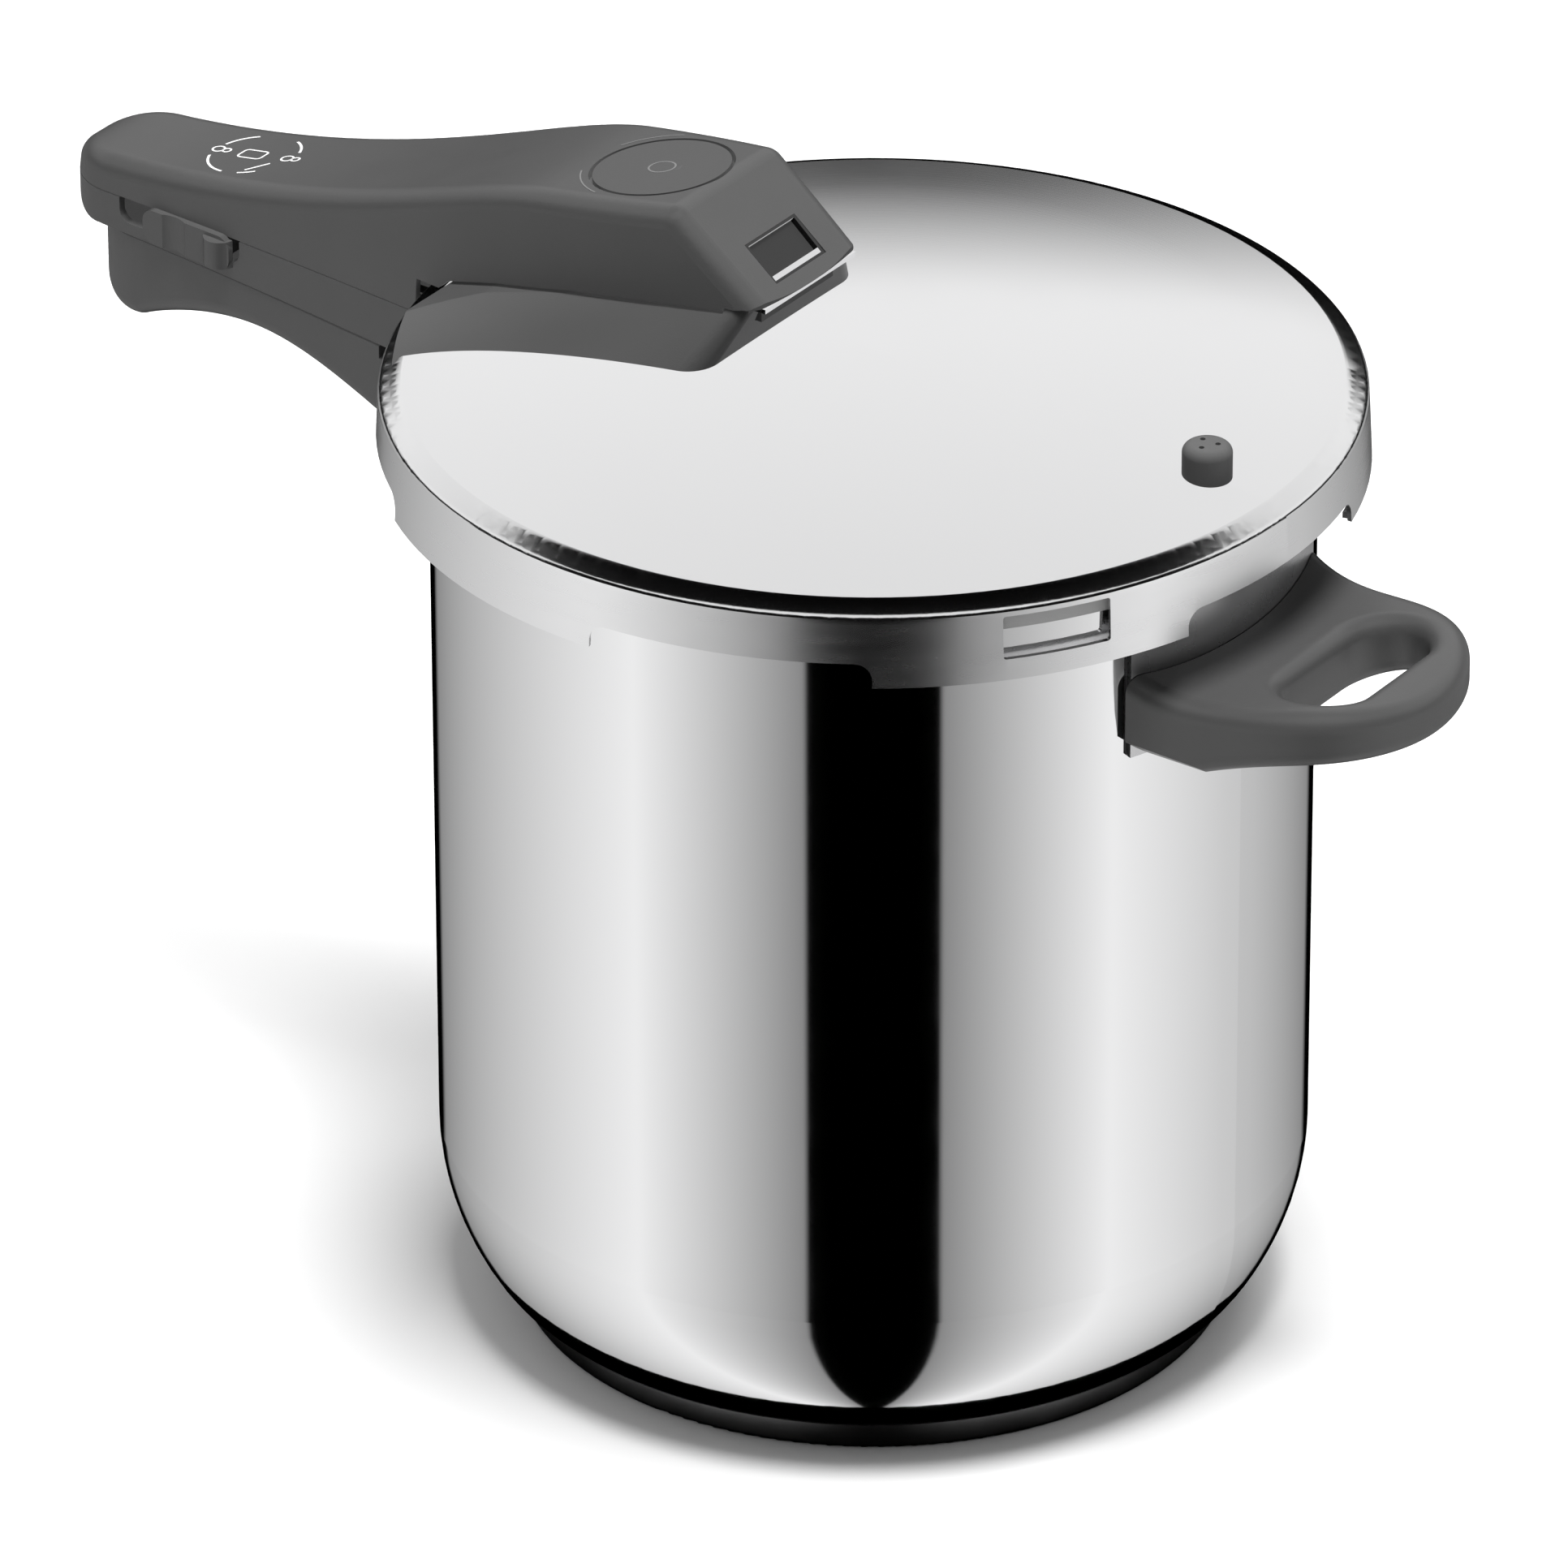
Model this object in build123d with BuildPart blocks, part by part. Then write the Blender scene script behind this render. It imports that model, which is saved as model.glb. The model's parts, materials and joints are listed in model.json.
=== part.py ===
from build123d import *
import os
from math import asin, cos, degrees, radians, sin, sqrt

# Stovetop pressure cooker. Millimetres, +Z up, origin at the centre of the base's
# underside. The stick handles point to -X, the loop handle to +X. The five locking
# lugs repeat every 72 degrees, and the lid is shown turned shut.

# ---- driving dimensions: pot ----
POT_R = 111.2
WALL = 1.2
RIM_Z = 249.0
RIM_R = 116.5
LUG_R = 121.2
LUG_LIP_Z = 239.8
LUG_COUNT = 5
LUG_FIRST = 36.0
POT_LUG_ARC = 30.0
STRAIGHT_FROM_Z = 48.0
HAUNCH_R = 62.0
CORNER_R = 20.0
BASE_TOP_Z = 6.0
BASE_R = 92.0
CAP_SHEET = 0.8

# ---- driving dimensions: lid ----
LID_SHEET = 1.2
LID_CENTRE_Z = 262.8
SHOULDER = (117.6, 256.8)
BEAD = (120.6, 255.5)
CREASE = (122.4, 254.2)
DOME_R = (SHOULDER[0] ** 2 + (LID_CENTRE_Z - SHOULDER[1]) ** 2) / (2 * (LID_CENTRE_Z - SHOULDER[1]))
SKIRT_IN_R = 123.3
SKIRT_R = SKIRT_IN_R + LID_SHEET
SKIRT_Z = 236.5
RECESS_Z = 243.0
RECESS_HALF_ANGLE = 17.0
LID_LUG_IN_R = 121.7
SKIRT_CUT_FROM = 100.0
WINDOW_ANGLE = -33.8
WINDOW = (28.0, 11.5, 247.8)

# ---- driving dimensions: stick handles ----
END_X = -245.0
END_R = 18.0
SEAM_Z = 250.0
SEAM_GAP = 0.4
FLAT_X = (-84.0, -45.0)
FLAT_Z = (293.6, 299.5)
ROOF = ((-227.0, 259.1), (-153.0, 263.5), (-112.0, 289.4))
HEEL_Z = 258.2
CROWN_MIN_Z = 254.0
CROWN_R = 5.5
ROOF_SLOPE = (ROOF[1][1] - ROOF[0][1]) / (ROOF[1][0] - ROOF[0][0])
NOSE_X = -18.5
NOSE_Z = 278.0
BEVEL = (FLAT_Z[1] - NOSE_Z) / (NOSE_X - FLAT_X[1])
STRIP_X = -29.0
SHELL_WALL = 2.6
DRAFT = 0.105
DRAFT_RISE = 60.0
SKIRT_CLEAR_R = 125.3
GRIP_GAP = 0.7
COLLAR_GAP = 0.9
POT_GRIP_END_X = -236.5
CASE_SCREWS = ((-158.0, 13.0), (-158.0, -13.0), (-232.0, 0.0))
BOSS_R = 3.6
SCREW_R = 1.4
HEAD_R = 2.8

# ---- driving dimensions: valves and lock ----
INDICATOR_X = -64.5
INDICATOR_R = 17.5
INDICATOR_GROOVE = 1.0
STEM_R = 3.0
STEM_BORE_R = 3.5
GUIDE_Z = 282.0
VENT_X = -91.0
SAFETY_X = 100.0
SLIDER_X = (-213.5, -184.4)
SLOT_X = (-223.0, -182.5)
PIN_X = -134.0
LOCK_TRAVEL = 10.0

LOW = (Align.CENTER, Align.CENTER, Align.MIN)
os.makedirs("parts", exist_ok=True)


def save(piece, name):
    piece.label = name
    export_step(piece, f"parts/{name}.step")


def lug_angles(first):
    return [first + 360.0 / LUG_COUNT * k for k in range(LUG_COUNT)]


def lid_top_z(radius):
    """Height of the lid's upper face at a distance from the axis."""
    dome_r = DOME_R + LID_SHEET
    return LID_CENTRE_Z - DOME_R + sqrt(dome_r**2 - radius**2)


def grip_z(x):
    """Height of the lid handle's underside, which rises slowly towards its end."""
    return 236.0 - (x + 126.0) * 4.0 / 99.0


def disc(radius, z_low, z_high, x=0.0, y=0.0):
    with BuildPart(Plane.XY.offset(z_low)) as round_block:
        with Locations((x, y)):
            Cylinder(radius, z_high - z_low, align=LOW)
    return round_block.part


def ring(r_in, r_out, z_low, z_high, x=0.0, y=0.0):
    with BuildPart() as band:
        add(disc(r_out, z_low, z_high, x, y))
        add(disc(r_in, z_low, z_high, x, y), mode=Mode.SUBTRACT)
    return band.part


def block(x_span, y_span, z_span):
    with BuildPart(Plane.XY.offset(z_span[0])) as box:
        with Locations(((x_span[0] + x_span[1]) / 2, (y_span[0] + y_span[1]) / 2)):
            Box(x_span[1] - x_span[0], y_span[1] - y_span[0], z_span[1] - z_span[0], align=LOW)
    return box.part


def pill(x, y, z, r):
    """A block whose edges along Y are rounded."""
    with BuildPart() as made:
        add(block(x, y, z))
        fillet(made.edges().filter_by(Axis.Y), r)
    return made.part


def sector(r_in, r_out, z_low, z_high, middle, angle):
    """A block bent round the pot's axis, centred on one azimuth."""
    with BuildPart() as arc_block:
        with BuildSketch(Plane.XZ.rotated((0, 0, middle - angle / 2))):
            with Locations(((r_in + r_out) / 2, (z_low + z_high) / 2)):
                Rectangle(r_out - r_in, z_high - z_low)
        revolve(axis=Axis.Z, revolution_arc=angle)
    return arc_block.part


def side_slab(points, width=200.0):
    """A straight-sided outline in the X-Z plane, spread evenly along Y."""
    with BuildPart() as slab:
        with BuildSketch(Plane.XZ.offset(-width / 2)):
            with BuildLine():
                Polyline(*points, close=True)
            make_face()
        extrude(amount=width)
    return slab.part


def coil(radius, wire, pitch, turns, start, direction=(0, 0, 1)):
    """A round-wire spring whose axis starts at a point."""
    path = Helix(pitch, pitch * turns, radius, center=start, direction=direction)
    with BuildPart() as spring:
        with BuildSketch(Plane(origin=path @ 0, z_dir=path % 0)):
            Circle(wire / 2)
        sweep(path=path, is_frenet=True)
    return spring.part


# ================= pot body =================
def pot_solid(inset, top):
    """The pot's outer volume, or its inner volume when inset by the wall."""
    swing = (STRAIGHT_FROM_Z - BASE_TOP_Z - CORNER_R) / (HAUNCH_R - CORNER_R)
    rise = sqrt(1 - swing**2)
    corner_x = POT_R - HAUNCH_R + (HAUNCH_R - CORNER_R) * rise
    corner_z = BASE_TOP_Z + CORNER_R
    big = HAUNCH_R - inset
    small = CORNER_R - inset
    join = (corner_x + small * rise, corner_z - small * swing)
    with BuildPart() as body:
        with BuildSketch(Plane.XZ):
            with BuildLine():
                Line((0, top), (0, BASE_TOP_Z + inset))
                Line((0, BASE_TOP_Z + inset), (corner_x, BASE_TOP_Z + inset))
                TangentArc((corner_x, BASE_TOP_Z + inset), join, tangent=(1, 0))
                TangentArc(join, (POT_R - inset, STRAIGHT_FROM_Z), tangent=(swing, rise))
                Line((POT_R - inset, STRAIGHT_FROM_Z), (POT_R - inset, top))
                Line((POT_R - inset, top), (0, top))
            make_face()
        revolve(axis=Axis.Z)
    return body.part


def pot_shell():
    with BuildPart() as shell:
        add(pot_solid(0, RIM_Z))
        add(disc(RIM_R, RIM_Z - WALL, RIM_Z))
        for angle in lug_angles(LUG_FIRST):
            add(sector(POT_R - WALL / 2, LUG_R, RIM_Z - WALL, RIM_Z, angle, POT_LUG_ARC))
            add(sector(LUG_R - WALL, LUG_R, LUG_LIP_Z, RIM_Z, angle, POT_LUG_ARC))
        add(pot_solid(WALL, RIM_Z), mode=Mode.SUBTRACT)
    save(shell.part, "pot_shell")


def capsule_base():
    save(disc(BASE_R - 2 * CAP_SHEET, CAP_SHEET, BASE_TOP_Z), "heat_spreader")
    with BuildPart() as cap:
        add(disc(BASE_R, 0, BASE_TOP_Z + CAP_SHEET))
        fillet(cap.faces().sort_by(Axis.Z)[0].edges(), 1.2)
        add(disc(BASE_R - 1.5 * CAP_SHEET, CAP_SHEET, RIM_Z), mode=Mode.SUBTRACT)
    save(cap.part, "base_cap")


# ================= seal and lid =================
def sealing_ring():
    lip = 3.2
    with BuildPart() as seal:
        with BuildSketch(Plane.XZ):
            with BuildLine():
                Polyline(
                    (112.6, RIM_Z),
                    (121.4, RIM_Z),
                    (121.4, 253.6),
                    (118.4, 256.0),
                    (112.6, 256.6),
                    (112.6, 256.6 - 2.0),
                    (112.6 + lip, 256.6 - 2.4),
                    (112.6 + lip, RIM_Z + 2.2),
                    (112.6, RIM_Z + 1.8),
                    close=True,
                )
            make_face()
        revolve(axis=Axis.Z)
    save(seal.part, "sealing_ring")


def lid_solid(sheet, bottom):
    """The lid's inner volume, or its outer volume when grown by the sheet."""
    dome_r = DOME_R + sheet
    sweep_angle = degrees(asin(SHOULDER[0] / DOME_R))
    with BuildPart() as volume:
        with BuildSketch(Plane.XZ):
            with BuildLine():
                dome = CenterArc((0, LID_CENTRE_Z - DOME_R), dome_r, 90, -sweep_angle)
                roll = Spline(
                    dome @ 1,
                    (BEAD[0] + 0.4 * sheet, BEAD[1] + 0.9 * sheet),
                    (CREASE[0] + sheet, CREASE[1] + 0.5 * sheet),
                    tangents=(dome % 1, (0.2, -1)),
                )
                Polyline(roll @ 1, (SKIRT_IN_R + sheet, SKIRT_Z), (SKIRT_IN_R + sheet, bottom),
                         (0, bottom), dome @ 0)
            make_face()
        revolve(axis=Axis.Z)
    return volume.part


def under_lid():
    """Everything below the lid's upper face, for trimming what sits on it."""
    return lid_solid(LID_SHEET, SKIRT_Z - 1)


def lid_shell():
    valve_holes = ((INDICATOR_X, 8.2), (VENT_X, 3.4), (SAFETY_X, 3.6))
    with BuildPart() as lid:
        add(lid_solid(LID_SHEET, SKIRT_Z - 1))
        add(lid_solid(0.0, SKIRT_Z - 2), mode=Mode.SUBTRACT)
        add(disc(SKIRT_R * 1.1, SKIRT_Z - 5, SKIRT_Z), mode=Mode.SUBTRACT)
        for angle in lug_angles(LUG_FIRST):
            add(sector(LID_LUG_IN_R, SKIRT_IN_R + 0.3, SKIRT_Z, SKIRT_Z + 1.6, angle, 37.0))
        for angle in lug_angles(0.0):
            turned = Plane.XZ.rotated((0, 0, angle + 90))
            half_width = SKIRT_IN_R * sin(radians(RECESS_HALF_ANGLE))
            with BuildSketch(turned.offset(SKIRT_CUT_FROM)):
                with Locations((0, RECESS_Z - 10)):
                    RectangleRounded(2 * half_width, 20, 4.5)
            extrude(amount=30, mode=Mode.SUBTRACT)
        window_plane = Plane.XZ.rotated((0, 0, WINDOW_ANGLE + 90)).offset(SKIRT_CUT_FROM)
        with BuildSketch(window_plane):
            with Locations((0, WINDOW[2])):
                RectangleRounded(WINDOW[0], WINDOW[1], 0.8)
        extrude(amount=30, mode=Mode.SUBTRACT)
        for x, radius in valve_holes:
            add(disc(radius, SKIRT_Z, LID_CENTRE_Z + 9, x), mode=Mode.SUBTRACT)
    save(lid.part, "lid_shell")


# ================= stick handles =================
def handle_plan(end_x, inset=0.0):
    """Plan of both stick handles: rounded end, widest over the rim, blunt nose."""
    nose_x = NOSE_X + (NOSE_Z - SEAM_Z) * DRAFT - inset
    with BuildSketch() as plan:
        with BuildLine():
            tip = CenterArc((end_x + END_R, 0), END_R - inset, 90, 180)
            flank = Spline(
                tip @ 0,
                (-125.0, 26.4 - inset),
                (-88.0, 29.6 - inset),
                (-45.0, 28.4 - inset),
                (nose_x - 2.0, 25.6 - inset),
                tangents=((1, 0.05), (1, -0.15)),
            )
            ThreePointArc(flank @ 1, (nose_x, 0), (nose_x - 2.0, inset - 25.6))
            mirror(flank, about=Plane.XZ)
        make_face()
    return plan.sketch


def lid_grip_solid(inset=0.0):
    """The lid handle's outer volume above the seam, or its cavity when inset."""
    foot_z = SEAM_Z - 20
    toe_x = NOSE_X + 10
    with BuildPart() as grip:
        with BuildSketch(Plane.XY.offset(SEAM_Z)):
            add(handle_plan(END_X, inset))
        with BuildSketch(Plane.XY.offset(SEAM_Z + DRAFT_RISE)):
            add(handle_plan(END_X, inset + DRAFT_RISE * DRAFT))
        loft(ruled=True)
        with BuildSketch(Plane.XZ.offset(-60)):
            with BuildLine():
                start = (END_X + inset, SEAM_Z)
                heel_x, heel_z = END_X + END_R, ROOF[0][1]
                heel = Bezier(
                    start,
                    (END_X + inset, HEEL_Z - inset),
                    (heel_x - 10.0, heel_z - 10.0 * ROOF_SLOPE - inset),
                    (heel_x, heel_z - inset),
                )
                nape = Bezier(
                    heel @ 1,
                    *[(x, z - inset) for x, z in ROOF[1:]],
                    (FLAT_X[0], FLAT_Z[0] - inset),
                )
                Polyline(
                    nape @ 1,
                    (FLAT_X[1] - 0.35 * inset, FLAT_Z[1] - inset),
                    (toe_x, NOSE_Z - 0.46 * inset - BEVEL * (toe_x - NOSE_X + inset)),
                    (toe_x, foot_z),
                    (END_X + inset, foot_z),
                    start,
                )
            make_face()
        extrude(amount=120, mode=Mode.INTERSECT)
    return grip.part


def head_underside():
    """Space below the upper shell: under the seam, the lid's rim and the collar's gap."""
    return side_slab(
        [
            (END_X - 10, SEAM_Z),
            (-115.0, SEAM_Z),
            (-115.0, 258.9),
            (-112.0, 261.7),
            (-97.0, 265.9),
            (-73.0, 270.9),
            (-48.0, 274.4),
            (STRIP_X, 276.7),
            (STRIP_X, NOSE_Z),
            (NOSE_X + 10, NOSE_Z),
            (NOSE_X + 10, SEAM_Z - 40),
            (END_X - 10, SEAM_Z - 40),
        ]
    )


def indicator_shaft(radius, z_low, z_high=320.0):
    return disc(radius, z_low, z_high, INDICATOR_X)


def window_block(bottom, top, width, length, shift=0.0):
    """A block square to the sloping nose, centred on the steam window."""
    slope = Plane((-28.3, 0, 286.5), x_dir=(0, 1, 0), z_dir=(0.653, 0, 0.757))
    with BuildPart() as recess:
        with BuildSketch(slope.offset(bottom)):
            with Locations((0, shift)):
                Rectangle(width, length)
        extrude(amount=top - bottom)
    return recess.part


def handle_upper_shell():
    with BuildPart() as shell:
        add(lid_grip_solid())
        crown = shell.edges().filter_by(
            lambda e: e.center().Z > CROWN_MIN_Z and abs(e.center().Y) > 8 and e.length > 20
        )
        brow = shell.edges().filter_by(
            lambda e: e.center().Z > 290 and abs(e.center().Y) < 1 and e.center().X > -60
        )
        fillet(crown.sort_by(Axis.Z, reverse=True) + brow, CROWN_R)
        add(head_underside(), mode=Mode.SUBTRACT)
        add(disc(SKIRT_CLEAR_R, SKIRT_Z, 258.9), mode=Mode.SUBTRACT)
        add(lid_grip_solid(SHELL_WALL), mode=Mode.SUBTRACT)
        for x, y in CASE_SCREWS:
            add(disc(BOSS_R, SEAM_Z, 257.0 + (x + 232) * 0.168, x, y))
            add(disc(SCREW_R, SEAM_Z - 1, 256.0, x, y), mode=Mode.SUBTRACT)
        add(indicator_shaft(INDICATOR_R + INDICATOR_GROOVE, SEAM_Z), mode=Mode.SUBTRACT)
        add(window_block(-3.0, 6.0, 21.4, 12.6, -2.3), mode=Mode.SUBTRACT)
    save(shell.part, "handle_upper_shell")


def lower_grip(inset, top_z):
    """The lid handle below the seam, or its cavity when inset."""
    tail_x = END_X + inset
    with BuildPart() as grip:
        with BuildSketch(Plane.XY.offset(SEAM_Z - 20)):
            add(handle_plan(END_X, inset))
        extrude(amount=20 + top_z - SEAM_Z)
        with BuildSketch(Plane.XZ.offset(-60)):
            with BuildLine():
                heel = ThreePointArc(
                    (tail_x, SEAM_Z),
                    (tail_x + 3.6, grip_z(-240) + 3.2 + inset),
                    (tail_x + 15, grip_z(-230) + inset),
                )
                Polyline(
                    heel @ 1,
                    (-100, grip_z(-100) + inset),
                    (-100, top_z + 5),
                    (tail_x, top_z + 5),
                    (tail_x, SEAM_Z),
                )
            make_face()
        extrude(amount=120, mode=Mode.INTERSECT)
    return grip.part


def lower_cavity():
    """Hollow of the lower shell, closed by a wall in front of the skirt."""
    with BuildPart() as cavity:
        add(lower_grip(2.2, SEAM_Z + 5))
        add(disc(SKIRT_CLEAR_R + SHELL_WALL, 0, 300), mode=Mode.SUBTRACT)
    return cavity.part


def handle_lower_shell():
    top_z = SEAM_Z - SEAM_GAP
    with BuildPart() as shell:
        add(lower_grip(0.0, top_z))
        add(lower_cavity(), mode=Mode.SUBTRACT)
        for x, y in CASE_SCREWS:
            add(disc(BOSS_R, grip_z(x) + 1, top_z, x, y))
            add(disc(SCREW_R + 0.2, 230, 255, x, y), mode=Mode.SUBTRACT)
            add(disc(HEAD_R + 0.3, 230, grip_z(x) + 2.4, x, y), mode=Mode.SUBTRACT)
        add(disc(SKIRT_CLEAR_R, 0, 300), mode=Mode.SUBTRACT)
        add(pill(SLOT_X, (-40, -12), (243.0, SEAM_Z + 7.0), 3.4), mode=Mode.SUBTRACT)
        slot = (PIN_X - LOCK_TRAVEL - 3, PIN_X + 3)
        add(block(slot, (-3.4, 3.4), (230, 245)), mode=Mode.SUBTRACT)
    save(shell.part, "handle_lower_shell")


def case_screws():
    with BuildPart() as screws:
        for x, y in CASE_SCREWS:
            add(disc(SCREW_R, grip_z(x) + 1.0, 255.5, x, y))
            add(disc(HEAD_R, grip_z(x) + 0.4, grip_z(x) + 2.4, x, y))
    save(screws.part, "handle_case_screws")


def handle_collar():
    """Saddle that fairs the lid handle into the lid."""
    slope = 14.5 / 88.0
    lean = sqrt(1 + slope**2)
    top_plane = Plane((-24, 0, 278.0), x_dir=(1, 0, slope), z_dir=(-slope, 0, 1))
    with BuildPart() as collar:
        with BuildSketch(Plane.XY.offset(257.0)) as foot:
            with BuildLine():
                flank = Spline((-31, 38.7), (-65, 48), (-113, 71))
                Line(flank @ 0, (-31, -38.7))
                Line(flank @ 1, (-113, -71))
                mirror(flank, about=Plane.XZ)
            make_face()
            fillet(foot.vertices().group_by(Axis.X)[-1], 9)
        with BuildSketch(top_plane) as crown:
            with BuildLine():
                front_x = 1.5
                back_x = (-113 + 24) * lean
                flank = Spline((front_x, 22), (-42, 26.6), (back_x, 27.5))
                Line(flank @ 0, (front_x, -22))
                Line(flank @ 1, (back_x, -27.5))
                mirror(flank, about=Plane.XZ)
            make_face()
            fillet(crown.vertices().group_by(Axis.X)[-1], 6)
        loft(ruled=True)
        add(disc(120.3, 200, 300), mode=Mode.INTERSECT)
        add(head_underside().moved(Location((0, 0, -COLLAR_GAP))), mode=Mode.INTERSECT)
        add(under_lid(), mode=Mode.SUBTRACT)
        add(block((-99.5, -46), (-19, 19), (250, 290)), mode=Mode.SUBTRACT)
        add(block((-125, -98), (-8, 8), (250, 290)), mode=Mode.SUBTRACT)
        add(block((-50, -10), (-15.6, 15.6), (271.5, 290)), mode=Mode.SUBTRACT)
        add(block((STRIP_X - 1, -10), (-20.3, 20.3), (275.8, 290)), mode=Mode.SUBTRACT)
    save(collar.part, "handle_collar")


def handle_nose():
    """The block, bright strip and steam outlet at the handle's front."""
    save(block((-50, -23.2), (-15.4, 15.4), (271.7, 275.6)), "nose_block")
    save(block((STRIP_X + 0.1, NOSE_X - 0.6), (-19.5, 19.5), (NOSE_Z - 1.2, NOSE_Z)), "nose_strip")
    with BuildPart() as outlet:
        add(window_block(-3.0, -0.6, 21.4, 12.6, -2.3))
        add(window_block(-2.2, 1.0, 19.6, 11.0, -2.3), mode=Mode.SUBTRACT)
    save(outlet.part, "steam_outlet")
    save(window_block(-2.2, -0.7, 19.6, 1.4, -7.1), "outlet_bar")


def handle_stay():
    """Steel bar welded to the lid inside the handle."""
    sheet = 2.0
    low = ((-101, 259.8), (-136, 259.8), (-152, 251.6), (-222, 251.6))
    top = [(x + 0.5, z + sheet) for x, z in reversed(low)]
    with BuildPart() as stay:
        add(side_slab([*low, *top], 13.0))
        add(block((-112, -101), (-6.5, 6.5), (256.0, 260.5)))
        add(under_lid(), mode=Mode.SUBTRACT)
    save(stay.part, "handle_stay")


def pot_handle():
    """Lower stick handle: flat top along the gap, finger hook under the end."""
    end_z = grip_z(POT_GRIP_END_X) - GRIP_GAP
    with BuildPart() as grip:
        with BuildSketch(Plane.XY.offset(195)):
            add(handle_plan(POT_GRIP_END_X))
        extrude(amount=60)
        with BuildSketch(Plane.XZ.offset(-60)):
            with BuildLine():
                hook = (POT_GRIP_END_X + END_R, 215.8)
                belly = Spline((-105, 204), (-143, 217), (-178, 225), (-200, 222.3), hook)
                heel = ThreePointArc(belly @ 1, (-231.5, 219.5), (POT_GRIP_END_X, 230))
                Polyline(
                    heel @ 1,
                    (POT_GRIP_END_X, end_z),
                    (-105, grip_z(-105) - GRIP_GAP),
                    (-105, 204),
                )
            make_face()
        extrude(amount=120, mode=Mode.INTERSECT)
        under = grip.edges().filter_by(
            lambda e: e.center().Z < end_z - 4 and e.length > 30 and e.center().X < -110
        )
        fillet(under, 5.0)
        add(disc(POT_R + 1.7, 0, 300), mode=Mode.SUBTRACT)
        add(block((-142, -110), (-8.3, 8.3), (220.7, 223.3)), mode=Mode.SUBTRACT)
        add(disc(2.6, 200, 230, -130), mode=Mode.SUBTRACT)
        add(disc(4.4, 200, 216, -130), mode=Mode.SUBTRACT)
        add(block((PIN_X - LOCK_TRAVEL - 3.5, PIN_X + 4), (-3.6, 3.6), (230, 245)), mode=Mode.SUBTRACT)
        add(sector(-PIN_X - 3.6, -PIN_X + 3.6, 232.2, 245, 187.5, 18), mode=Mode.SUBTRACT)
    save(grip.part, "pot_handle")
    with BuildPart() as bracket:
        add(sector(POT_R + 0.05, POT_R + 1.5, 208, 234, 180, 24))
        add(block((-141.5, -112), (-8, 8), (221, 223)))
        add(disc(2.5, 200, 230, -130), mode=Mode.SUBTRACT)
    save(bracket.part, "pot_handle_bracket")
    with BuildPart() as screw:
        add(disc(2.4, 212.5, 226, -130))
        add(disc(4.2, 212.5, 215.8, -130))
    save(screw.part, "pot_handle_screw")


# ================= loop handle =================
def side_handle():
    with BuildPart() as grip:
        with BuildSketch(Plane.XY.offset(185)):
            with BuildLine():
                rim = Spline((100, 43), (125, 39.5), (156, 30.5), (170, 0),
                             (156, -30.5), (125, -39.5), (100, -43))
                Line(rim @ 1, rim @ 0)
            make_face()
        extrude(amount=50)
        with BuildSketch(Plane.XZ.offset(-60)):
            with BuildLine():
                saddle = Spline((100, 226.5), (120, 219.6), (138, 221.2), (156, 222.6), (171, 219.5))
                belly = Spline((171, 207.0), (150, 207.5), (128, 201.5), (100, 188))
                Line(saddle @ 1, belly @ 0)
                Line(belly @ 1, saddle @ 0)
            make_face()
        extrude(amount=120, mode=Mode.INTERSECT)
        with BuildSketch(Plane.YZ.offset(90)):
            with BuildLine():
                bow = ThreePointArc((-46, 209), (0, 189), (46, 209))
                Polyline(bow @ 1, (46, 230), (-46, 230), (-46, 209))
            make_face()
        extrude(amount=100, mode=Mode.INTERSECT)
        with BuildSketch(Plane.XY.offset(180)):
            with Locations((144.5, 0)):
                SlotOverall(48, 22, rotation=90)
        extrude(amount=60, mode=Mode.SUBTRACT)
        outer = grip.edges().filter_by(lambda e: e.length > 60 and e.center().X > 110)
        fillet(outer, 5.0)
        eye = grip.edges().filter_by(
            lambda e: 130 < e.center().X < 158
            and abs(e.center().Y) < 25.5
            and e.length < 40
            and abs(e.tangent_at(0.5).Z) < 0.9
        )
        fillet(eye, 4.5)
        add(disc(POT_R + 1.7, 0, 300), mode=Mode.SUBTRACT)
        for y in (-22, 22):
            add(disc(2.3, 180, 215, 124, y), mode=Mode.SUBTRACT)
            add(disc(4.2, 180, 203, 124, y), mode=Mode.SUBTRACT)
        add(block((110, 130.5), (-30.3, 30.3), (208.7, 211.3)), mode=Mode.SUBTRACT)
    save(grip.part, "side_handle")
    with BuildPart() as bracket:
        add(sector(POT_R + 0.05, POT_R + 1.5, 200, 236.5, 0, 42))
        add(block((112, 130), (-30, 30), (209, 211)))
        for y in (-22, 22):
            add(disc(2.2, 200, 230, 124, y), mode=Mode.SUBTRACT)
    save(bracket.part, "side_handle_bracket")
    with BuildPart() as screws:
        for y in (-22, 22):
            add(disc(2.1, 200, 214, 124, y))
            add(disc(4.0, 200, 202.8, 124, y))
    save(screws.part, "side_handle_screws")


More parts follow.
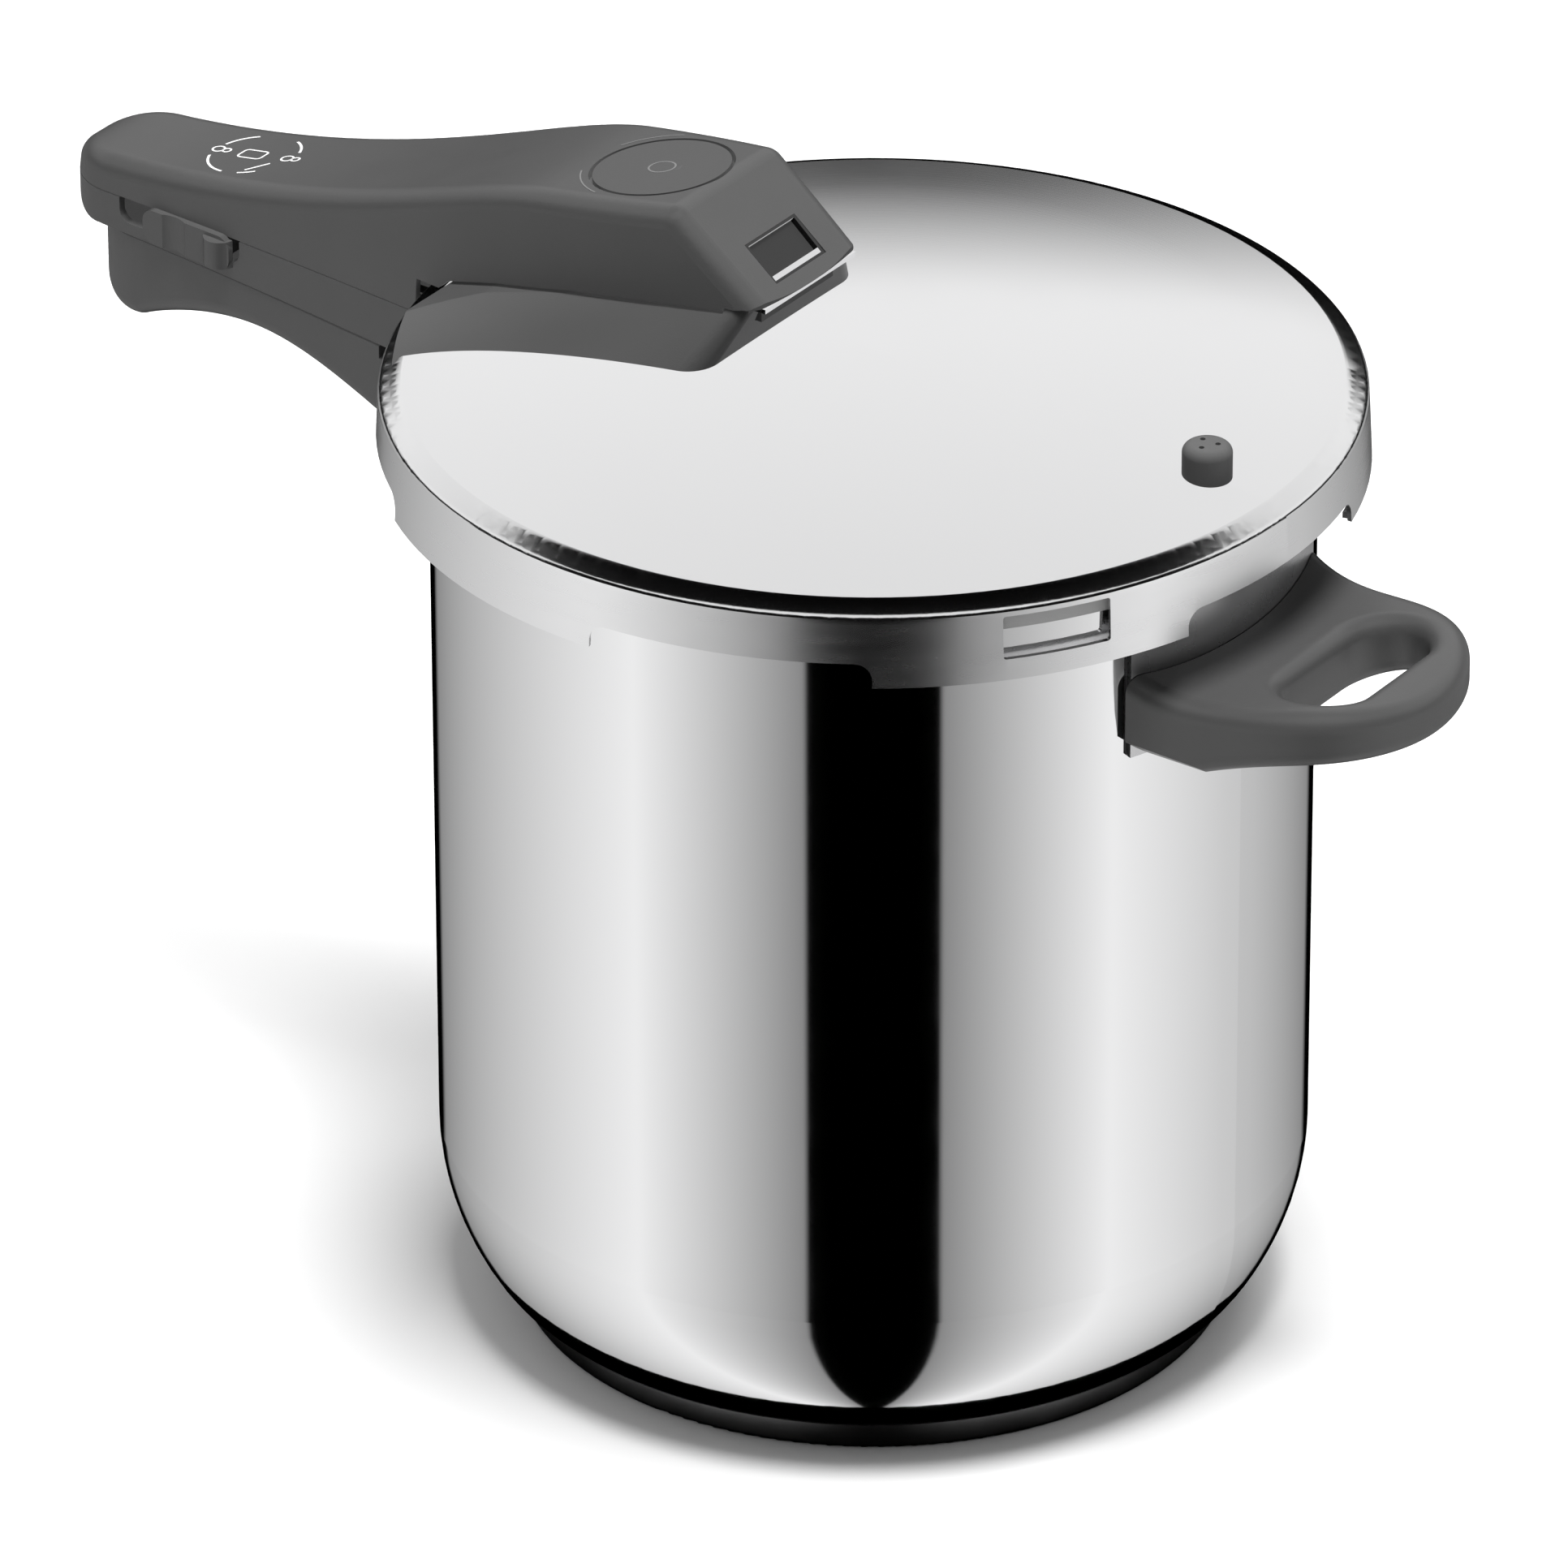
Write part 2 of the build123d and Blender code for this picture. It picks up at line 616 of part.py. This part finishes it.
# ================= indicator and valves =================
def indicator():
    with BuildPart() as cap:
        add(lid_grip_solid())
        add(indicator_shaft(INDICATOR_R, 287.0), mode=Mode.INTERSECT)
        add(ring(INDICATOR_R - 0.8, INDICATOR_R + 2, 288.4, 290.2, INDICATOR_X), mode=Mode.SUBTRACT)
        add(ring(INDICATOR_R - 0.8, INDICATOR_R + 2, 291.6, 293.4, INDICATOR_X), mode=Mode.SUBTRACT)
        add(disc(3.4, 297.2, 310, INDICATOR_X + 1.5, 1.0), mode=Mode.SUBTRACT)
    save(cap.part, "indicator_cap")
    with BuildPart() as bands:
        add(ring(INDICATOR_R - 0.8, INDICATOR_R, 288.4, 290.2, INDICATOR_X))
        add(ring(INDICATOR_R - 0.8, INDICATOR_R, 291.6, 293.4, INDICATOR_X))
    save(bands.part, "indicator_bands")
    with BuildPart() as stem:
        add(indicator_shaft(STEM_R, 256.0, 287.0))
        add(indicator_shaft(6.5, 268.0, 269.4))
    save(stem.part, "indicator_stem")
    with BuildPart() as guide:
        add(indicator_shaft(20.4, GUIDE_Z, 300.0))
        add(lid_grip_solid(SHELL_WALL), mode=Mode.INTERSECT)
        add(indicator_shaft(INDICATOR_R + INDICATOR_GROOVE, GUIDE_Z + 2.2), mode=Mode.SUBTRACT)
        add(indicator_shaft(STEM_R + 0.4, GUIDE_Z - 1), mode=Mode.SUBTRACT)
    save(guide.part, "indicator_guide")
    save(coil(4.8, 0.8, 2.9, 4, (INDICATOR_X, 0, 269.9)), "indicator_spring")


def main_valve():
    with BuildPart() as body:
        add(indicator_shaft(11.5, 264.4, 266.4))
        add(indicator_shaft(8.0, 252.0, 264.4))
        add(indicator_shaft(STEM_BORE_R, 250.0), mode=Mode.SUBTRACT)
    save(body.part, "valve_body")
    with BuildPart() as seal:
        add(ring(8.3, 11.0, 260.5, 264.4, INDICATOR_X))
        add(under_lid(), mode=Mode.SUBTRACT)
    save(seal.part, "valve_seal")
    with BuildPart() as nut:
        with BuildSketch(Plane.XY.offset(254.0)):
            with Locations((INDICATOR_X, 0)):
                RegularPolygon(12.5, 6)
                Circle(8.1, mode=Mode.SUBTRACT)
        extrude(amount=5.8)
    save(nut.part, "valve_nut")


def ball_valve(x, name):
    """A small through-pipe with a ball resting on its seat."""
    height = 5.0
    ball_r = 2.2
    hole_r = 1.1
    top = lid_top_z(abs(x)) + height
    seat_z = top - 4.4
    with BuildPart() as pipe:
        add(disc(5.0, lid_top_z(abs(x)) - 0.6, top, x))
        add(disc(3.2, 252.5, top, x))
        add(under_lid(), mode=Mode.SUBTRACT)
        add(disc(3.2, 252.5, top, x))
        add(disc(ball_r + 0.4, seat_z, top + 1, x), mode=Mode.SUBTRACT)
        add(disc(hole_r, 250.0, top, x), mode=Mode.SUBTRACT)
    save(pipe.part, f"{name}_pipe")
    with BuildPart() as ball:
        with Locations((x, 0, seat_z + sqrt(ball_r**2 - hole_r**2) + 0.05)):
            Sphere(ball_r)
    save(ball.part, f"{name}_ball")
    save(ring(3.3, 5.2, 253.0, 256.0, x), f"{name}_nut")


def safety_valve():
    base_z = lid_top_z(SAFETY_X)
    with BuildPart() as plug:
        add(disc(6.3, base_z - 1.0, base_z + 8.6, SAFETY_X))
        fillet(plug.faces().sort_by(Axis.Z)[-1].edges(), 2.4)
        add(disc(5.1, base_z - 2.0, base_z + 6.6, SAFETY_X), mode=Mode.SUBTRACT)
        add(under_lid(), mode=Mode.SUBTRACT)
        for angle in (30, 150, 270):
            x = SAFETY_X + 2.6 * cos(radians(angle))
            add(disc(0.7, base_z, base_z + 10, x, 2.6 * sin(radians(angle))), mode=Mode.SUBTRACT)
    save(plug.part, "safety_cap")


def lock():
    """Thumb slider on the handle's side and the bar that carries its pin."""
    height = (241.0, 250.6)
    with BuildPart() as slider:
        with BuildSketch(Plane.XY.offset(height[0])):
            add(handle_plan(END_X, -2.2))
        extrude(amount=height[1] - height[0])
        add(pill(SLIDER_X, (-40, -5), height, 3.6), mode=Mode.INTERSECT)
        add(disc(4.4, height[0] + 1.0, height[1] - 1.0, SLIDER_X[1] - 4.4, -20.6))
        add(disc(8.0, 240, 252, -203.5, -28.6), mode=Mode.SUBTRACT)
        with BuildSketch(Plane.XY.offset(SEAM_Z - 20)):
            add(handle_plan(END_X, -0.35))
        extrude(amount=40, mode=Mode.SUBTRACT)
        add(block((SLIDER_X[0] + 3, SLIDER_X[1] - 3), (-19.8, -13.0), (243.5, 249.2)))
    save(slider.part, "lock_slider")
    with BuildPart() as bar:
        add(block((-205, PIN_X + 2), (-3, 3), (245.2, 247.4)))
        add(block((-203, -195), (-13, 3), (245.2, 247.4)))
        add(block((PIN_X - 2, PIN_X + 2), (-2.4, 2.4), (232.8, 246)))
    save(bar.part, "lock_bar")
    save(coil(1.9, 0.5, 1.1, 8, (-205.4, 0, 246.3), (-1, 0, 0)), "lock_spring")


pot_shell()
capsule_base()
sealing_ring()
lid_shell()
handle_upper_shell()
handle_lower_shell()
case_screws()
handle_collar()
handle_nose()
handle_stay()
pot_handle()
side_handle()
indicator()
main_valve()
ball_valve(VENT_X, "vent")
ball_valve(SAFETY_X, "safety")
safety_valve()
lock()
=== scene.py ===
import json
import math

import bpy
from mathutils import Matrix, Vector
from mathutils.bvhtree import BVHTree


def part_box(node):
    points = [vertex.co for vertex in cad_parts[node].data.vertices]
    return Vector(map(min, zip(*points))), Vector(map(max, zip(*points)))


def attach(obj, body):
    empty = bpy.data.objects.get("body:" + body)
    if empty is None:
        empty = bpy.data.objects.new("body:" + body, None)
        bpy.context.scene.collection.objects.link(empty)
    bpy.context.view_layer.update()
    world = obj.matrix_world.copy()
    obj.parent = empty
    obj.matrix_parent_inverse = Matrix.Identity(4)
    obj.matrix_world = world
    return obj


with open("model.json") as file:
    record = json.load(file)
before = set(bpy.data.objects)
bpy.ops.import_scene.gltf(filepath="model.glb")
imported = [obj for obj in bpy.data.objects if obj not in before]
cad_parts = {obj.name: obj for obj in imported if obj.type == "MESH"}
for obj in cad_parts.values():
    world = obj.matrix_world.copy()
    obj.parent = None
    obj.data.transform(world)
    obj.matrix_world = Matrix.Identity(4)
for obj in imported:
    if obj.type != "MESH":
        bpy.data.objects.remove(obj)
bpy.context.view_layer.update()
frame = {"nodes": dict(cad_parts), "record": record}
nodes = frame["nodes"]

VIEW_AZIMUTH = 35.0
VIEW_ELEVATION = 29.3
VIEW_DISTANCE = 3.7355
VIEW_AIM = Vector((0, 0, 0.130))
VIEW_SHIFT = (-0.0571, 0.0233)
LENS = 338.6
SENSOR = 36
LIGHT_AIM = Vector((0, 0, 0.15))

# Heights on the lid, in metres: its skirt ends and its smooth top begins at the shoulder, and
# the rolled bead lies just above.
SHOULDER = (0.2535, 0.2555)
BEAD = (0.2560, 0.2590)


# ---------------------------------------------------------------- materials

class Nodes:
    """A material with its shader and a few ways to add to it."""

    def __init__(self, name, color, roughness, metallic=0.0):
        self.material = bpy.data.materials.new(name)
        self.material.use_nodes = True
        self.tree = self.material.node_tree
        self.tree.nodes.clear()
        self.shader = self.tree.nodes.new("ShaderNodeBsdfPrincipled")
        output = self.tree.nodes.new("ShaderNodeOutputMaterial")
        self.tree.links.new(self.shader.outputs["BSDF"], output.inputs["Surface"])
        self.shader.inputs["Base Color"].default_value = (*color, 1)
        self.shader.inputs["Roughness"].default_value = roughness
        self.shader.inputs["Metallic"].default_value = metallic
        self.bump_from = None

    def node(self, kind, **values):
        made = self.tree.nodes.new(kind)
        for name, value in values.items():
            made.inputs[name.replace("_", " ")].default_value = value
        return made

    def link(self, a, b):
        self.tree.links.new(a, b)

    def coordinates(self, stretch=(1, 1, 1)):
        place = self.node("ShaderNodeTexCoord")
        mapping = self.node("ShaderNodeMapping", Scale=stretch)
        self.link(place.outputs["Object"], mapping.inputs["Vector"])
        return mapping.outputs["Vector"]

    def noise(self, scale, detail=3.0, stretch=(1, 1, 1)):
        made = self.node("ShaderNodeTexNoise", Scale=scale, Detail=detail)
        self.link(self.coordinates(stretch), made.inputs["Vector"])
        return made.outputs["Fac"]

    def ramp(self, fac, low, high):
        made = self.node("ShaderNodeMapRange", To_Min=low, To_Max=high)
        self.link(fac, made.inputs["Value"])
        return made.outputs["Result"]

    def tint(self, fac, dark, light):
        made = self.tree.nodes.new("ShaderNodeMix")
        made.data_type = "RGBA"
        made.inputs[6].default_value = (*dark, 1)
        made.inputs[7].default_value = (*light, 1)
        self.link(fac, made.inputs[0])
        self.link(made.outputs[2], self.shader.inputs["Base Color"])

    def rough(self, fac, low, high):
        self.link(self.ramp(fac, low, high), self.shader.inputs["Roughness"])

    def bump(self, height, distance, strength=1.0):
        made = self.node("ShaderNodeBump", Strength=strength, Distance=distance)
        self.link(height, made.inputs["Height"])
        if self.bump_from:
            self.link(self.bump_from, made.inputs["Normal"])
        self.bump_from = made.outputs["Normal"]
        self.link(self.bump_from, self.shader.inputs["Normal"])

    def radius_from(self, x, y):
        """Distance from the upright axis through (x, y)."""
        place = self.node("ShaderNodeTexCoord")
        shift = self.node("ShaderNodeMapping", Location=(-x, -y, 0), Scale=(1, 1, 0))
        length = self.tree.nodes.new("ShaderNodeVectorMath")
        length.operation = "LENGTH"
        self.link(place.outputs["Object"], shift.inputs["Vector"])
        self.link(shift.outputs["Vector"], length.inputs[0])
        return length.outputs["Value"]

    def rings(self, x, y, pitch):
        """Fine turning marks round the axis through (x, y)."""
        scaled = self.node("ShaderNodeMath")
        scaled.operation = "DIVIDE"
        scaled.inputs[1].default_value = pitch
        self.link(self.radius_from(x, y), scaled.inputs[0])
        made = self.tree.nodes.new("ShaderNodeTexNoise")
        made.noise_dimensions = "1D"
        made.inputs["Scale"].default_value = 1.0
        made.inputs["Detail"].default_value = 2.0
        self.link(scaled.outputs["Value"], made.inputs["W"])
        return made.outputs["Fac"]


def polished_steel():
    m = Nodes("polished_steel", (0.90, 0.90, 0.905), 0.05, 1.0)
    m.rough(m.noise(60, 4), 0.035, 0.075)
    m.bump(m.noise(9, 2, (1, 1, 0.3)), 0.00004)
    return m


def lid_steel():
    """Satin smooth on top, rougher on the bead, brushed on the skirt below the shoulder."""
    m = Nodes("lid_steel", (0.90, 0.90, 0.905), 0.12, 1.0)
    place = m.node("ShaderNodeTexCoord")
    split = m.node("ShaderNodeSeparateXYZ")
    m.link(place.outputs["Object"], split.inputs["Vector"])
    on_top = m.node("ShaderNodeMapRange", From_Min=SHOULDER[0], From_Max=SHOULDER[1])
    m.link(split.outputs["Z"], on_top.inputs["Value"])
    both = m.tree.nodes.new("ShaderNodeMix")
    m.link(on_top.outputs["Result"], both.inputs[0])
    m.link(m.ramp(m.noise(50, 4, (1, 1, 6)), 0.15, 0.24), both.inputs[2])
    m.link(m.ramp(m.noise(35, 4), 0.07, 0.11), both.inputs[3])
    bead = m.node("ShaderNodeMapRange", From_Min=BEAD[0], From_Max=BEAD[1], To_Min=0.07, To_Max=0.0)
    m.link(split.outputs["Z"], bead.inputs["Value"])
    total = m.tree.nodes.new("ShaderNodeMath")
    m.link(both.outputs[0], total.inputs[0])
    m.link(bead.outputs["Result"], total.inputs[1])
    m.link(total.outputs["Value"], m.shader.inputs["Roughness"])
    m.bump(m.rings(0, 0, 0.0004), 0.000002)
    return m


def base_steel():
    m = Nodes("base_steel", (0.50, 0.50, 0.505), 0.3, 1.0)
    m.rough(m.noise(60, 3), 0.24, 0.36)
    m.bump(m.rings(0, 0, 0.0006), 0.00002)
    return m


def core_aluminium():
    m = Nodes("aluminium_core", (0.75, 0.75, 0.76), 0.4, 1.0)
    m.rough(m.noise(60, 3), 0.34, 0.46)
    return m


def plain_steel(name, value, low, high):
    m = Nodes(name, (value, value, value * 1.01), low, 1.0)
    m.rough(m.noise(120, 3), low, high)
    m.bump(m.noise(500, 2), 0.00001)
    return m


def moulded(name, value, low, high, grain=0.000025):
    """Satin moulded plastic: a fine spark-eroded grain and slight wear in its sheen."""
    m = Nodes(name, (value,) * 3, low)
    wear = m.noise(22, 4)
    m.tint(wear, (value * 0.93,) * 3, (value * 1.07,) * 3)
    m.rough(m.noise(70, 5), low, high)
    m.bump(m.noise(2600, 2), grain)
    return m


def rubber(name, value):
    m = Nodes(name, (value,) * 3, 0.6)
    m.tint(m.noise(60, 4), (value * 0.85,) * 3, (value * 1.12,) * 3)
    m.rough(m.noise(90, 4), 0.5, 0.68)
    m.bump(m.noise(900, 3), 0.00003)
    return m


def smoked(name):
    m = Nodes(name, (0.012,) * 3, 0.09)
    m.rough(m.noise(80, 3), 0.06, 0.13)
    return m


def ink(name, value):
    m = Nodes(name, (value,) * 3, 0.5)
    m.rough(m.noise(300, 3), 0.42, 0.58)
    return m


BY_SLOT = {
    "polished_steel": polished_steel(),
    "lid_steel": lid_steel(),
    "base_steel": base_steel(),
    "aluminium_core": core_aluminium(),
    "bracket_steel": plain_steel("bracket_steel", 0.62, 0.22, 0.34),
    "fastener_steel": plain_steel("fastener_steel", 0.55, 0.25, 0.4),
    "handle_plastic": moulded("handle_plastic", 0.062, 0.34, 0.44),
    "inner_plastic": smoked("inner_plastic"),
    "bright_trim": plain_steel("bright_trim", 0.86, 0.06, 0.12),
    "indicator_rings": moulded("indicator_rings", 0.62, 0.3, 0.4),
    "seal_rubber": rubber("seal_rubber", 0.36),
    "dark_rubber": rubber("dark_rubber", 0.085),
}
SLOT_OF = {s["node"]: s["material_slot"] for s in frame["record"]["subparts"]}
for name, obj in nodes.items():
    obj.data.materials.clear()
    obj.data.materials.append(BY_SLOT[SLOT_OF[name]].material)

# The lid shows no mirror image of what stands on it.
BODIES = frame["record"]["behaviour"]["bodies"]
for body in ("lid", "indicator", "lock", "vent", "safety"):
    for name in BODIES[body]:
        nodes[name].visible_glossy = name == "lid_shell"


# ---------------------------------------------------------------- printed marks

def mark(name, outlines, under, body, material, lift):
    """Thin printed shapes that lie on the node below them. Each outline runs up one side of its
    line and back down the other."""
    tree = BVHTree.FromObject(nodes[under], bpy.context.evaluated_depsgraph_get())
    above, down = 0.4, Vector((0, 0, -1))
    verts, faces = [], []
    for outline in outlines:
        first = len(verts)
        for x, y in outline:
            hit = tree.ray_cast(Vector((x, y, above)), down)
            verts.append((x, y, hit[0].z + lift))
        last = first + len(outline) - 1
        for i in range(len(outline) // 2 - 1):
            faces.append((first + i, first + i + 1, last - i - 1, last - i))
    mesh = bpy.data.meshes.new(name)
    mesh.from_pydata(verts, [], faces)
    mesh.update()
    made = bpy.data.objects.new(name, mesh)
    bpy.context.collection.objects.link(made)
    mesh.materials.append(material)
    made.visible_glossy = False
    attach(made, body)


def ribbon(points, width):
    """Outline of a line of that width along the points: one side out, the other back."""
    left, right = [], []
    for i, (x, y) in enumerate(points):
        x0, y0 = points[max(i - 1, 0)]
        x1, y1 = points[min(i + 1, len(points) - 1)]
        length = math.hypot(x1 - x0, y1 - y0) or 1
        nx, ny = -(y1 - y0) / length * width / 2, (x1 - x0) / length * width / 2
        left.append((x + nx, y + ny))
        right.append((x - nx, y - ny))
    return left + right[::-1]


def arc(cx, cy, r, start, end, steps=28):
    turns = [math.radians(start + (end - start) * i / steps) for i in range(steps + 1)]
    return [(cx + r * math.cos(t), cy + r * math.sin(t)) for t in turns]


def rounded_box(cx, cy, half_x, half_y, r):
    points = []
    for sx, sy, start in ((1, 1, 0), (-1, 1, 90), (-1, -1, 180), (1, -1, 270)):
        points += arc(cx + sx * (half_x - r), cy + sy * (half_y - r), r, start, start + 90, 6)
    return points + points[:1]


GRIP_X = -0.193
LINE, FINE_LINE = 0.0007, 0.00056
grip_marks = [ribbon(arc(GRIP_X, 0, 0.012, start, end), LINE)
              for start, end in ((120, 165), (200, 262), (20, 60), (-75, -52))]
grip_marks.append(ribbon([(GRIP_X + 0.004, -0.0095), (GRIP_X + 0.008, -0.004)], LINE))
for icon_x in (GRIP_X - 0.0115, GRIP_X + 0.0105):
    grip_marks.append(ribbon(arc(icon_x, 0, 0.0016, 0, 360), FINE_LINE))
    grip_marks.append(ribbon(arc(icon_x + 0.0026, 0, 0.0011, 0, 360, 20), FINE_LINE))
grip_marks.append(ribbon(rounded_box(GRIP_X - 0.0005, 0, 0.0036, 0.0024, 0.0012), FINE_LINE))
pale = ink("print_pale", 0.72).material
grey = ink("print_grey", 0.15).material
mark("grip_marks", grip_marks, "handle_upper_shell", "lid", pale, 0.00012)

low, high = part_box("indicator_cap")
disc = (low + high) / 2
mark("disc_ring", [ribbon(arc(disc.x, disc.y, 0.0034, 0, 360, 40), 0.0005)],
     "indicator_cap", "indicator", grey, 0.00008)
mark("guide_arcs", [ribbon(arc(disc.x, disc.y, 0.0205, start, start + 46, 20), 0.0004)
                    for start in (205, 110)],
     "handle_upper_shell", "lid", grey, 0.00012)


# ---------------------------------------------------------------- studio

def floor():
    size = 6.0
    mesh = bpy.data.meshes.new("floor")
    mesh.from_pydata([(-size, -size, 0), (size, -size, 0), (size, size, 0), (-size, size, 0)],
                     [], [(0, 1, 2, 3)])
    made = bpy.data.objects.new("floor", mesh)
    bpy.context.collection.objects.link(made)
    m = Nodes("floor", (0.93,) * 3, 0.9)
    mesh.materials.append(m.material)
    made.visible_glossy = False


def painted_shadow_disc():
    """Painted shadow: a black card lying under the pot, which only mirror surfaces see. It stands
    in for the shade beneath the pot in their reflections.
    """
    sides, radius, z = 64, 0.106, -0.0005
    rim = [(x, y, z) for x, y in arc(0, 0, radius, 0, 360, sides)[:-1]]
    mesh = bpy.data.meshes.new("painted_shadow_disc")
    mesh.from_pydata(rim, [], [tuple(range(sides))])
    made = bpy.data.objects.new("painted_shadow_disc", mesh)
    bpy.context.collection.objects.link(made)
    # Painted shadow: plain black in place of the shade under the pot.
    black = Nodes("painted_shadow_disc", (0.0,) * 3, 1.0)
    black.shader.inputs["Specular IOR Level"].default_value = 0.0
    mesh.materials.append(black.material)
    made.visible_camera = False
    made.visible_diffuse = False
    made.visible_shadow = False


def place_round(aim, bearing, elevation, distance):
    """A place that far from the aim, bearing degrees from the camera's side of it."""
    angle, e = math.radians(VIEW_AZIMUTH - 90 + bearing), math.radians(elevation)
    flat = distance * math.cos(e)
    return aim + Vector((flat * math.cos(angle), flat * math.sin(angle), distance * math.sin(e)))


# The studio that polished steel mirrors. Below the horizon: a black flag at the front and one at
# the back, and a soft light on each side between them. Bearings are in degrees either way from
# the camera's.
FRONT_FLAG = 17
SIDE_LIGHT = 65
BACK_FLAG = 158
MIDDLE, EDGE = 0.93, 0.27
SIDES = (
    (FRONT_FLAG, 0.0), (FRONT_FLAG + 1, EDGE), (SIDE_LIGHT, MIDDLE),
    (BACK_FLAG, EDGE), (BACK_FLAG + 4, 0.0),
)
# Above the horizon: a lit band of ceiling between a dark wall and a dark gap overhead, as sine
# of the elevation and brightness. On the camera's side it is lit only high up.
CEILING = ((0.27, 0.0), (0.40, MIDDLE), (0.74, 0.75), (0.77, 0.0))
FRONT_CEILING = ((0.58, 0.0), (0.66, 0.80))


def gradient(tree, fac, stops):
    """A colour ramp in greys through (position 0 to 1, value) pairs."""
    ramp = tree.nodes.new("ShaderNodeValToRGB")
    elements = ramp.color_ramp.elements
    elements[0].position, elements[0].color = stops[0][0], (stops[0][1],) * 3 + (1,)
    elements[1].position, elements[1].color = stops[-1][0], (stops[-1][1],) * 3 + (1,)
    for position, value in stops[1:-1]:
        elements.new(position).color = (value, value, value, 1)
    tree.links.new(fac, ramp.inputs["Fac"])
    return ramp.outputs["Color"]


def spread(tree, value, low, high):
    """The value's place between low and high, from 0 to 1."""
    made = tree.nodes.new("ShaderNodeMapRange")
    made.inputs["From Min"].default_value = low
    made.inputs["From Max"].default_value = high
    tree.links.new(value, made.inputs["Value"])
    return made.outputs["Result"]


def blend_colors(tree, fac, low, high):
    made = tree.nodes.new("ShaderNodeMix")
    made.data_type = "RGBA"
    tree.links.new(fac, made.inputs[0])
    tree.links.new(low, made.inputs[6])
    tree.links.new(high, made.inputs[7])
    return made.outputs[2]


def surround():
    world = bpy.data.worlds.new("studio")
    bpy.context.scene.world = world
    world.use_nodes = True
    tree = world.node_tree
    tree.nodes.clear()
    place = tree.nodes.new("ShaderNodeTexCoord")
    turn = tree.nodes.new("ShaderNodeVectorRotate")
    turn.rotation_type = "Z_AXIS"
    turn.inputs["Angle"].default_value = math.radians(90 - VIEW_AZIMUTH)
    tree.links.new(place.outputs["Generated"], turn.inputs["Vector"])
    split = tree.nodes.new("ShaderNodeSeparateXYZ")
    tree.links.new(turn.outputs["Vector"], split.inputs["Vector"])
    bearing = tree.nodes.new("ShaderNodeMath")
    bearing.operation = "ARCTAN2"
    tree.links.new(split.outputs["Y"], bearing.inputs[0])
    tree.links.new(split.outputs["X"], bearing.inputs[1])
    either_way = tree.nodes.new("ShaderNodeMath")
    either_way.operation = "ABSOLUTE"
    tree.links.new(bearing.outputs[0], either_way.inputs[0])
    share = spread(tree, either_way.outputs[0], 0, math.pi)
    sides = gradient(tree, share, [(angle / 180, value) for angle, value in SIDES])
    ceiling = blend_colors(
        tree, spread(tree, split.outputs["X"], 0.05, 0.16),
        gradient(tree, split.outputs["Z"], CEILING),
        gradient(tree, split.outputs["Z"], FRONT_CEILING),
    )
    above = spread(tree, split.outputs["Z"], -0.02, 0.02)
    glow = tree.nodes.new("ShaderNodeBackground")
    tree.links.new(blend_colors(tree, above, sides, ceiling), glow.inputs["Color"])
    output = tree.nodes.new("ShaderNodeOutputWorld")
    tree.links.new(glow.outputs[0], output.inputs["Surface"])


def area_light(name, bearing, elevation, distance, size, power):
    """A round soft light, kept out of the mirror surfaces."""
    data = bpy.data.lights.new(name, "AREA")
    data.shape = "DISK"
    data.size = size
    data.energy = power
    made = bpy.data.objects.new(name, data)
    bpy.context.collection.objects.link(made)
    made.location = place_round(LIGHT_AIM, bearing, elevation, distance)
    made.rotation_euler = (LIGHT_AIM - made.location).to_track_quat("-Z", "Y").to_euler()
    made.visible_glossy = False


floor()
painted_shadow_disc()
surround()
area_light("key", 20, 78, 2.2, 0.9, 62)
area_light("back", 150, 55, 2.2, 1.2, 20)

camera = bpy.data.objects.new("camera", bpy.data.cameras.new("camera"))
bpy.context.collection.objects.link(camera)
bpy.context.scene.camera = camera
camera.data.lens = LENS
camera.data.sensor_width = SENSOR
camera.data.shift_x, camera.data.shift_y = VIEW_SHIFT
camera.data.clip_end = 30
camera.location = place_round(VIEW_AIM, 0, VIEW_ELEVATION, VIEW_DISTANCE)
camera.rotation_euler = (VIEW_AIM - camera.location).to_track_quat("-Z", "Y").to_euler()
bpy.context.scene.view_settings.view_transform = "Standard"
